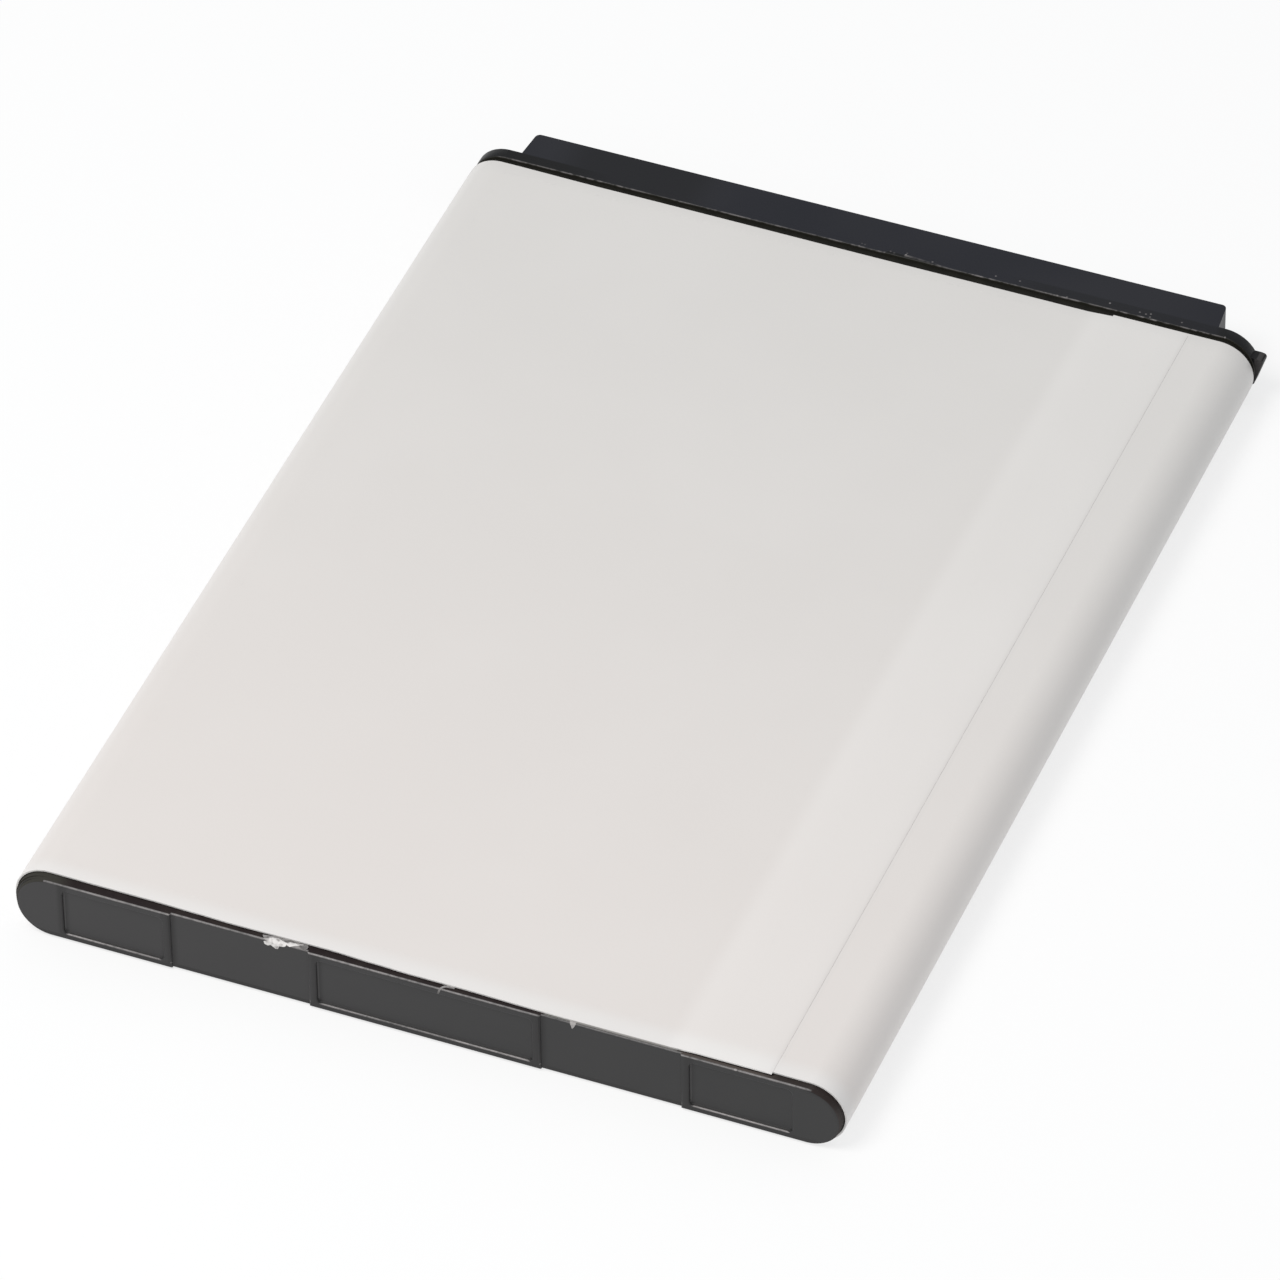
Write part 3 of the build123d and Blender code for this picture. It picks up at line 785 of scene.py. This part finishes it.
cavity_low = Vector((skirt_low.x + skirt_wall, cap_low.y - MM, skirt_low.z + skirt_wall))
cavity_high = Vector((skirt_high.x - skirt_wall, block_y - flange_end_wall, skirt_high.z - skirt_wall))
combine(cap_body, rounded_bar("cavity", cavity_low, cavity_high), "DIFFERENCE")
bay_half = block_half - block_draft - block_side_wall
bay_end = contact_y - block_front_wall
combine(cap_body, box_piece("board_bay", Vector((-bay_half, cap_low.y - MM, cavity_low.z)),
                            Vector((bay_half, bay_end, cavity_high.z))), "DIFFERENCE")
for number in range(1, 5):
    pad_low, pad_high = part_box(f"contact_pad_{number}")
    gap = Vector((contact_gap, 0, contact_gap))
    window_low = pad_low - gap
    window_high = pad_high + gap
    window_low.y = bay_end - crisp_edge
    window_high.y = contact_y - window_flare
    window = box_piece("window", window_low, window_high)
    begin_edit(window)
    select_only("FACE", lambda face: lies_at(middle(face).y, window_high.y))
    extrude((0, window_flare + crisp_edge, 0))
    wide = 1 + 2 * (window_flare + crisp_edge) / (window_high.x - window_low.x)
    tall = 1 + 2 * (window_flare + crisp_edge) / (window_high.z - window_low.z)
    bpy.ops.transform.resize(value=(wide, 1, tall), center_override=(window_low + window_high) / 2)
    bpy.ops.object.mode_set(mode="OBJECT")
    combine(cap_body, window, "DIFFERENCE")
for x_snap in (-snap_spacing, 0, snap_spacing):
    for side, wall_z in ((-1, cavity_low.z), (1, cavity_high.z)):
        inner_z = wall_z - side * snap_rise
        outer_z = wall_z + side * crisp_edge
        snap_back = board_low.y - snap_gap
        snap_low = Vector((x_snap - snap_half, snap_back - snap_depth, min(inner_z, outer_z)))
        snap_high = Vector((x_snap + snap_half, snap_back, max(inner_z, outer_z)))
        combine(cap_body, box_piece("snap", snap_low, snap_high), "UNION")


def dented(x):
    """How far back, in mm, a knock has pushed the flange's front edge, steeply on its left."""
    return x.rise(*dent_steep) * (1 - x.rise(*dent_gentle)) * dent_depth


def mottled_top(start, place, x, y, z):
    """Slightly mottled, as the grain is polished in places, darker towards both ends of the flange, the right
    end as painted shade, and darker in its dent as painted shade for the groove there, and dusty on its front
    face, down in the groove, lightened there as painted light."""
    tone = start.noise(place, 70.0, 2.0).rise(0.35, 0.65).blend(top_plastic, top_plastic_light)
    behind = y - flange_y / MM
    # Darker towards both ends of the flange; at the right end this is painted shade.
    ends = (1 - x.rise(-20.0, -12.0)).most(x.rise(9.0, 12.0) * 0.5 + x.rise(22.6, 23.2) * 0.5)
    on_flange = 1 - y.rise(block_y / MM - 0.1, block_y / MM)
    darker = (ends * on_flange).most(x.within(-18.0, -12.0, 3.0) * 0.6)
    # Painted shade where the knock has pushed the flange's edge back.
    darker = darker.most(1 - (behind - dented(x)).rise(-0.03, 0.01))
    # Dust and painted light on the flange's front face, down in the groove.
    dusty_and_lit = 1 - behind.rise(0.01, 0.03)
    return dusty_and_lit.blend(darker.blend(tone, top_plastic_darker), groove_dust_and_light)


def rubbed_and_highlit_flange(start, place, x, y, z):
    """Rubbed pale along the flange's edge beside the label except in its dent, partly as wear and partly as a
    painted highlight, chipped behind it, with painted light on the ear's face and a painted highlight along
    the ear's top edge."""
    behind = y - flange_y / MM
    # Wear and painted highlight along the flange's edge.
    near = (behind - dented(x)).within(-0.07, 0.01, 0.08) * (1 - x.within(1.65, 2.75, 0.1))
    high_part = z.rise(cap_high.z / MM - 0.12, cap_high.z / MM - 0.03)
    speckle = start.noise(place, 2600.0, 5.0)
    uneven = start.noise(place, 420.0, 2.0)
    brightness = (uneven.rise(0.35, 0.60) * 0.38 + 0.17) * (x.rise(-5.0, 20.0) * 0.5 + 1)
    worn_and_highlit = near * high_part * speckle.rise(0.35, 0.62) * brightness
    for x_chip, y_chip, bright in chips:
        worn_and_highlit = worn_and_highlit.most((x - x_chip).spot(behind - y_chip, chip_size) * high_part * bright)
    flange_end = flange_half / MM
    # Painted light on the ear's near face, and a painted highlight along its top edge.
    ear_face_painted_light = (1 - behind.rise(0.045, 0.055)) * x.rise(flange_end - 0.15, flange_end)
    ear_top_painted_highlight = x.rise(flange_end, flange_end + 0.1) * z.rise(ear_top / MM - 0.06, ear_top / MM - 0.01)
    return worn_and_highlit.most(ear_face_painted_light.most(ear_top_painted_highlight) * 0.16)


cap_body.data.materials.append(black_moulding("top_cap_plastic", 0.3, mottled_top, rubbed_and_highlit_flange))
cap_body.data.materials.append(shoulder_black("top_cap_shoulder", skirt_dark, skirt_light,
                                              lambda start, place, x, y, z, tone: tone))
face_of(cap_body, lambda face: face.center.y < flange_y and abs(face.normal.y) < 0.2, 1)
shade_smooth(cap_body)
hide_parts("top_cap")
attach(cap_body, "root")

# Torn film. Where the film's near edge was once caught, shreds of it still cling to the bottom cap's top
# edge: a frayed white tuft on a grey flap of adhesive, a curled hair of film and a small pulled nick.
# Each outline is x and run in mm; run goes from the middle of the cap's rounded edge back over its top.
adhesive_flap = ((-9.94, 0.30), (-9.20, 0.41), (-8.45, 0.43), (-7.71, 0.43), (-7.22, 0.42), (-7.11, 0.28),
                 (-7.16, 0.02), (-7.66, 0.04), (-8.40, 0.00), (-9.10, 0.02), (-9.74, 0.02))
tuft_back = ((-9.76, 0.03), (-9.45, 0.17), (-9.25, 0.25), (-8.93, 0.30), (-8.67, 0.19), (-8.31, 0.10),
             (-8.40, -0.06), (-8.77, -0.12), (-9.10, -0.05), (-9.50, -0.02))
tuft_front = ((-9.74, -0.10), (-9.40, 0.06), (-9.00, 0.10), (-8.62, 0.02), (-8.50, -0.14), (-8.77, -0.14),
              (-8.87, -0.41), (-8.97, -0.42), (-9.18, -0.34), (-9.30, -0.24), (-9.49, -0.34),
              (-9.68, -0.28))
tuft_tail = ((-8.45, 0.06), (-8.18, 0.25), (-8.00, 0.26), (-7.76, 0.27), (-7.46, 0.36), (-7.41, 0.29),
             (-7.79, 0.10), (-8.14, -0.02))
hair_line = ((0.95, -0.34), (1.00, -0.12), (1.06, 0.06), (1.14, 0.22), (1.26, 0.36), (1.56, 0.42),
             (1.84, 0.42), (1.88, 0.30), (1.62, 0.25), (1.40, 0.24), (1.27, 0.16), (1.19, 0.04),
             (1.12, -0.12), (1.04, -0.34))
pulled_nick = ((8.84, 0.26), (9.26, 0.30), (9.31, 0.01), (9.20, -0.24), (9.10, -0.36), (9.01, -0.10))
shred_film = 0.03 * MM
shred_cuts = 5
ruffle_scale = 6000         # waves to the metre
torn_white = (0.74, 0.715, 0.70, 1)
torn_shadow = (0.36, 0.34, 0.33, 1)
torn_grey = (0.130, 0.122, 0.118, 1)
torn_grey_light = (0.29, 0.275, 0.27, 1)


def draped(x, run, lift, front_y):
    """A point above the cap's top front edge, which is rounded between the front face and the top."""
    half = plate_round * math.pi / 4
    on_rounding = min(max(run, -half), half)
    turn = math.pi / 4 * (1 + on_rounding / half)
    outward = Vector((0, -math.cos(turn), math.sin(turn)))
    further = Vector((0, math.sin(turn), math.cos(turn))) * (run - on_rounding)
    return Vector((x, front_y + plate_round, high.z - plate_round)) + outward * (plate_round + lift) + further


def shred(name, outline, front_y, lift, ruffle, material):
    """A thin scrap of film with that outline, laid over the edge and ruffled."""
    bpy.ops.object.select_all(action="DESELECT")
    bpy.ops.mesh.primitive_circle_add(vertices=len(outline), radius=MM, fill_type="NGON")
    scrap = bpy.context.object
    scrap.name = name
    for vertex, (x_point, run) in zip(scrap.data.vertices, outline):
        vertex.co = Vector((x_point, run, 0)) * MM
    begin_edit(scrap)
    bpy.ops.mesh.select_all(action="SELECT")
    bpy.ops.mesh.quads_convert_to_tris(ngon_method="BEAUTY")
    bpy.ops.mesh.subdivide(number_cuts=shred_cuts)
    bpy.ops.object.mode_set(mode="OBJECT")
    for vertex in scrap.data.vertices:
        wave = noise(vertex.co * ruffle_scale) * ruffle
        vertex.co = draped(vertex.co.x, vertex.co.y, lift + abs(wave), front_y)
    apply_modifier(scrap, "SOLIDIFY", thickness=shred_film, offset=1)
    begin_edit(scrap)
    bpy.ops.mesh.select_all(action="SELECT")
    bpy.ops.mesh.normals_make_consistent(inside=False)
    bpy.ops.object.mode_set(mode="OBJECT")
    scrap.data.materials.append(material)
    return scrap


def torn_material(name, dark, light):
    """Frayed film or adhesive, uneven and matt."""
    material, start = new_material(name)
    place, x, y, z = start.place()
    fray = start.noise(place, 3500.0, 4.0)
    start.finish(Base_Color=fray.rise(0.35, 0.60).blend(dark, light), Roughness=fray * 0.2 + 0.5,
                 Normal=start.bump(fray, 0.03 * MM, 0.8))
    return material


white_torn = torn_material("torn_white", torn_shadow, torn_white)
grey_torn = torn_material("torn_grey", torn_grey, torn_grey_light)
pale_torn = torn_material("torn_nick", torn_shadow, torn_shadow)
scraps = [shred("torn_film", adhesive_flap, zones_y, 0.02 * MM, 0.03 * MM, grey_torn),
          shred("tuft", tuft_back, zones_y, 0.05 * MM, 0.06 * MM, white_torn),
          shred("tuft", tuft_front, zones_y, 0.02 * MM, 0.06 * MM, white_torn),
          shred("tuft", tuft_tail, zones_y, 0.05 * MM, 0.04 * MM, white_torn),
          shred("hair", hair_line, pads_y, 0.01 * MM, 0.02 * MM, grey_torn),
          shred("nick", pulled_nick, zones_y, 0.01 * MM, 0.02 * MM, pale_torn)]
bpy.ops.object.select_all(action="DESELECT")
for scrap in scraps:
    scrap.select_set(True)
bpy.context.view_layer.objects.active = scraps[0]
bpy.ops.object.join()
torn_film = bpy.context.object
torn_film.name = "torn_film"
shade_smooth(torn_film, 50)
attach(torn_film, "root")

# Contacts. Four gold-plated copper plates soldered on the board, one behind each window, with the wipe
# marks that spring fingers leave down their middle.
gold = (0.83, 0.60, 0.27, 1)
gold_rubbed = (0.90, 0.72, 0.42, 1)
contact_corner = 0.12 * MM
contact_edge = 0.03 * MM

gold_material, start = new_material("contact_gold")
place, x, y, z = start.place()
wipe = start.node("ShaderNodeMapping", (), {0: place, 3: (40.0, 1.0, 3.0)})
lines = start.noise(wipe, 260.0, 4.0)
fine = start.noise(place, 6000.0, 3.0)
start.finish(Base_Color=lines.rise(0.45, 0.65).blend(gold, gold_rubbed), Metallic=1.0,
             Roughness=lines * 0.20 + fine * 0.10 + 0.10, Normal=start.bump(lines, 0.01 * MM, 0.4))
for number in range(1, 5):
    pad_low, pad_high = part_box(f"contact_pad_{number}")
    contact = box_piece(f"contact_plate_{number}", pad_low, pad_high)
    bevel_edges(contact, lambda edge: not lies_at(edge.verts[0].co.y, edge.verts[1].co.y),
                contact_corner, 3)
    bevel_edges(contact, lambda edge: lies_at(middle(edge).y, pad_high.y), contact_edge, 2)
    contact.data.materials.append(gold_material)
    shade_smooth(contact)
    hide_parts(f"contact_pad_{number}")
    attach(contact, "root")


def dress(material, *names):
    """Give pieces that keep the CAD's shape their material."""
    for name in names:
        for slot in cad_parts[name].material_slots:
            slot.material = material


# Circuit board and the parts soldered on it. Glass-epoxy board under green solder resist, moulded black
# chips with tinned legs, chip resistors and capacitors with tinned ends.
resist = (0.006, 0.050, 0.020, 1)
resist_light = (0.014, 0.100, 0.042, 1)
glass_epoxy = (0.34, 0.33, 0.17, 1)
epoxy_black = (0.016, 0.016, 0.017, 1)
tin = (0.62, 0.62, 0.60, 1)
resistor_body = (0.020, 0.021, 0.026, 1)
capacitor_body = (0.33, 0.21, 0.12, 1)
track_pitch = 1.30
board_face = board_low.y / MM
leg_thickness = 0.12
chip_half = 0.74            # from the board's middle to where a chip's legs come out
tinned_end = (0.285, 0.60)  # of a chip resistor or capacitor, from its middle
resistor_places = (-8.6, -10.6, 7.6)
capacitor_places = (-10.6, 7.6, 9.6)

board_material, start = new_material("board_resist")
place, x, y, z = start.place()
tracks = start.node("ShaderNodeTexVoronoi", {"distance": "CHEBYCHEV"},
                    {"Vector": place, "Scale": 1000 / track_pitch})
weave = start.noise(place, 4000.0, 2.0)
edge = y.within(board_face + 0.04, board_high.y / MM - 0.04, 0.01)
side = x.math("ABSOLUTE", x).rise(board_high.x / MM - 0.02, board_high.x / MM - 0.01)
side = side.most(z.rise(board_high.z / MM - 0.02, board_high.z / MM - 0.01))
tone = tracks.rise(0.15, 0.25).blend(resist_light, resist)
start.finish(Base_Color=(edge * side).blend(tone, glass_epoxy), Roughness=weave * 0.15 + 0.28,
             Normal=start.bump(tracks, 0.02 * MM, 0.5))
dress(board_material, "circuit_board")

chip_material, start = new_material("chip_moulding")
place, x, y, z = start.place()
matt = start.noise(place, 8000.0, 3.0)
leg = y.rise(board_face - leg_thickness - 0.02, board_face - leg_thickness)
outside = z.math("ABSOLUTE", z - middle_z / MM).rise(chip_half, chip_half + 0.02)
tinned = leg * outside
start.finish(Base_Color=tinned.blend(epoxy_black, tin), Metallic=tinned, Roughness=matt * 0.2 + 0.45,
             Normal=start.bump(matt, 0.01 * MM, 0.6))
dress(chip_material, "protection_chip", "switch_chip")


def chip_part_material(name, body, places):
    """A ceramic body between tinned ends; places are the middles of the parts along X."""
    material, start = new_material(name)
    place, x, y, z = start.place()
    speckle = start.noise(place, 7000.0, 2.0)
    ends = sum(x.math("ABSOLUTE", x - middle_x).within(*tinned_end, 0.01) for middle_x in places)
    start.finish(Base_Color=ends.blend(body, tin), Metallic=ends, Roughness=speckle * 0.2 + 0.35,
                 Normal=start.bump(speckle, 0.01 * MM, 0.5))
    return material


dress(chip_part_material("resistor_ceramic", resistor_body, resistor_places), "chip_resistors")
dress(chip_part_material("capacitor_ceramic", capacitor_body, capacitor_places), "chip_capacitors")

# Nickel parts. Rolled strips folded to shape and spot-welded, the two tabs soldered to the board, the
# clad plate on the lid and the riveted terminal.
nickel = (0.56, 0.53, 0.48, 1)
nickel_dull = (0.42, 0.40, 0.37, 1)

nickel_material, start = new_material("rolled_nickel")
place, x, y, z = start.place()
rolled = start.noise(start.node("ShaderNodeMapping", (), {0: place, 3: (1.0, 30.0, 30.0)}), 400.0, 4.0)
stain = start.noise(place, 500.0, 3.0)
start.finish(Base_Color=stain.rise(0.45, 0.7).blend(nickel, nickel_dull), Metallic=1.0,
             Roughness=rolled * 0.25 + 0.18, Normal=start.bump(rolled, 0.01 * MM, 0.5))
dress(nickel_material, "cutoff_lead", "negative_lead", "positive_lead", "board_tab_negative",
      "board_tab_positive", "positive_plate", "terminal_rivet")

# Cell. Deep-drawn aluminium can with its laser-welded lid, grey and faintly brushed along its length,
# and the pressed-in plug of the same metal.
aluminium = (0.60, 0.61, 0.62, 1)
aluminium_grey = (0.46, 0.47, 0.48, 1)

can_material, start = new_material("drawn_aluminium")
place, x, y, z = start.place()
drawn = start.noise(start.node("ShaderNodeMapping", (), {0: place, 3: (30.0, 1.0, 30.0)}), 150.0, 4.0)
stain = start.noise(place, 120.0, 3.0)
start.finish(Base_Color=stain.rise(0.4, 0.7).blend(aluminium, aluminium_grey), Metallic=1.0,
             Roughness=drawn * 0.25 + 0.25, Normal=start.bump(drawn, 0.01 * MM, 0.5))
dress(can_material, "cell", "fill_plug")

# Insulators. The gasket round the terminal, the pale adhesive sheet on the lid, the thermal breaker's
# moulded body, and the tape that holds the bottom cap.
insulators = (              # piece, its darker and lighter tone, and its roughness
    ("terminal_gasket", (0.52, 0.52, 0.50, 1), (0.60, 0.60, 0.58, 1), 0.45),
    ("lid_insulator", (0.60, 0.57, 0.48, 1), (0.68, 0.65, 0.57, 1), 0.75),
    ("thermal_cutoff", (0.035, 0.034, 0.034, 1), (0.055, 0.053, 0.052, 1), 0.50),
    ("bottom_tape", (0.045, 0.043, 0.040, 1), (0.080, 0.076, 0.070, 1), 0.85),
)
for name, dark, light, roughness in insulators:
    material, start = new_material(name + "_finish")
    place, x, y, z = start.place()
    fibre = start.noise(place, 2500.0, 5.0)
    tone = fibre.rise(0.35, 0.65).blend(dark, light)
    start.finish(Base_Color=tone, Roughness=fibre * 0.15 + (roughness - 0.07),
                 Normal=start.bump(fibre, 0.02 * MM, 0.6))
    dress(material, name)
